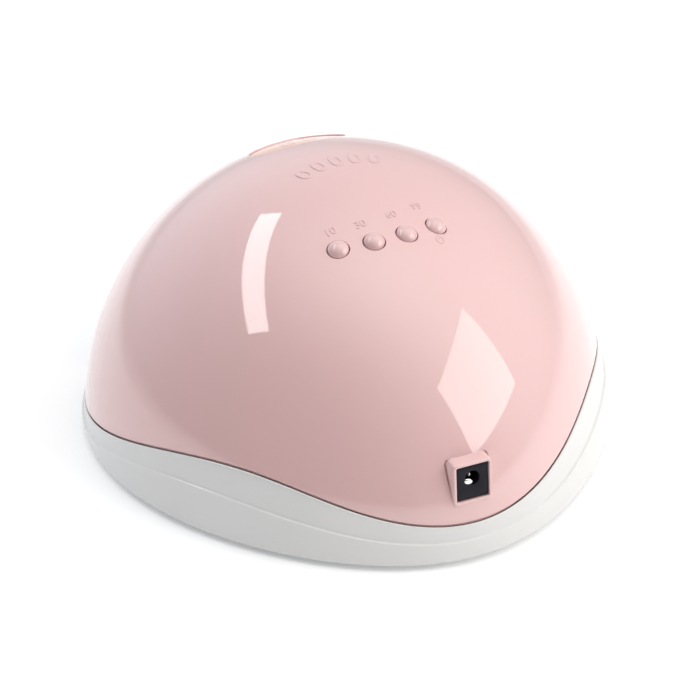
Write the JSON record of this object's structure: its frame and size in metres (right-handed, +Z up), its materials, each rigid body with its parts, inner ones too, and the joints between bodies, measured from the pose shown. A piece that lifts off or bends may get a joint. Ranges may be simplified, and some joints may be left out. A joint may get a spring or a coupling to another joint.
{
  "type": "uv led nail lamp",
  "caption": "Dome-shaped table lamp that cures gel nail polish: glossy shell, white skirt, arched hand opening, push buttons, display window, removable base tray.",
  "frame": {"origin": "on the surface that the rubber feet stand on, midway along and across the lamp", "axes": "+Z up, -Y out of the hand opening at the front, +Y out of the rear where the power jack is, +X to the left of a person whose hand is in the lamp"},
  "size_m": [0.2058, 0.2168, 0.106],
  "materials": {
    "pink_gloss": "high-gloss moulded ABS",
    "button_pink": "gloss moulded ABS",
    "white_satin": "satin moulded ABS",
    "reflector_white": "bright white reflector",
    "window_smoke": "smoked acrylic",
    "black_plastic": "black moulded plastic",
    "circuit_board": "solder mask on glass-epoxy",
    "nickel": "nickel plate",
    "rubber": "matt silicone rubber",
    "led_lens": "clear lens over phosphor-yellow chips",
    "lead_jacket": "PVC jacket"
  },
  "bodies": {
    "base_tray": {"base_tray": "white_satin", "rubber_foot_1": "rubber", "rubber_foot_2": "rubber", "rubber_foot_3": "rubber", "rubber_foot_4": "rubber", "tray_magnet_left": "nickel", "tray_magnet_right": "nickel"},
    "lamp": {"control_board": "circuit_board", "dc_jack": "black_plastic", "dc_jack_pin": "nickel", "display_module": "black_plastic", "display_window": "window_smoke", "front_bezel": "white_satin", "housing_magnet_left": "nickel", "housing_magnet_right": "nickel", "housing_screw_1": "nickel", "housing_screw_2": "nickel", "housing_screw_3": "nickel", "housing_screw_4": "nickel", "inner_liner": "reflector_white", "lower_housing": "white_satin", "power_lead": "lead_jacket", "presence_sensor": "black_plastic", "tact_switch_1": "black_plastic", "tact_switch_2": "black_plastic", "tact_switch_3": "black_plastic", "tact_switch_4": "black_plastic", "top_shell": "pink_gloss", "uv_led_01": "led_lens", "uv_led_02": "led_lens", "uv_led_03": "led_lens", "uv_led_04": "led_lens", "uv_led_05": "led_lens", "uv_led_06": "led_lens", "uv_led_07": "led_lens", "uv_led_08": "led_lens", "uv_led_09": "led_lens", "uv_led_10": "led_lens", "uv_led_11": "led_lens", "uv_led_12": "led_lens", "uv_led_13": "led_lens", "uv_led_14": "led_lens", "uv_led_15": "led_lens", "uv_led_16": "led_lens", "uv_led_17": "led_lens", "uv_led_18": "led_lens", "uv_led_19": "led_lens", "uv_led_20": "led_lens", "uv_led_21": "led_lens", "uv_led_22": "led_lens", "uv_led_23": "led_lens", "uv_led_24": "led_lens"},
    "button_1": {"button_cap_1": "button_pink", "switch_plunger_1": "black_plastic"},
    "button_2": {"button_cap_2": "button_pink", "switch_plunger_2": "black_plastic"},
    "button_3": {"button_cap_3": "button_pink", "switch_plunger_3": "black_plastic"},
    "button_4": {"button_cap_4": "button_pink", "switch_plunger_4": "black_plastic"}
  },
  "joints": [
    {"name": "lamp_lift", "type": "slide", "parent": "base_tray", "child": "lamp", "axis": [0, 0, 1], "range_m": [0, 0.12]},
    {"name": "button_1_press", "type": "slide", "parent": "lamp", "child": "button_1", "axis": [-0.2458, -0.3319, -0.9107], "range_m": [0, 0.0008], "stiffness_N_per_m": 1500, "springref_m": -0.0003},
    {"name": "button_2_press", "type": "slide", "parent": "lamp", "child": "button_2", "axis": [-0.0955, -0.3498, -0.9319], "range_m": [0, 0.0008], "stiffness_N_per_m": 1500, "springref_m": -0.0003},
    {"name": "button_3_press", "type": "slide", "parent": "lamp", "child": "button_3", "axis": [0.0955, -0.3498, -0.9319], "range_m": [0, 0.0008], "stiffness_N_per_m": 1500, "springref_m": -0.0003},
    {"name": "button_4_press", "type": "slide", "parent": "lamp", "child": "button_4", "axis": [0.2458, -0.3319, -0.9107], "range_m": [0, 0.0008], "stiffness_N_per_m": 1500, "springref_m": -0.0003}
  ]
}
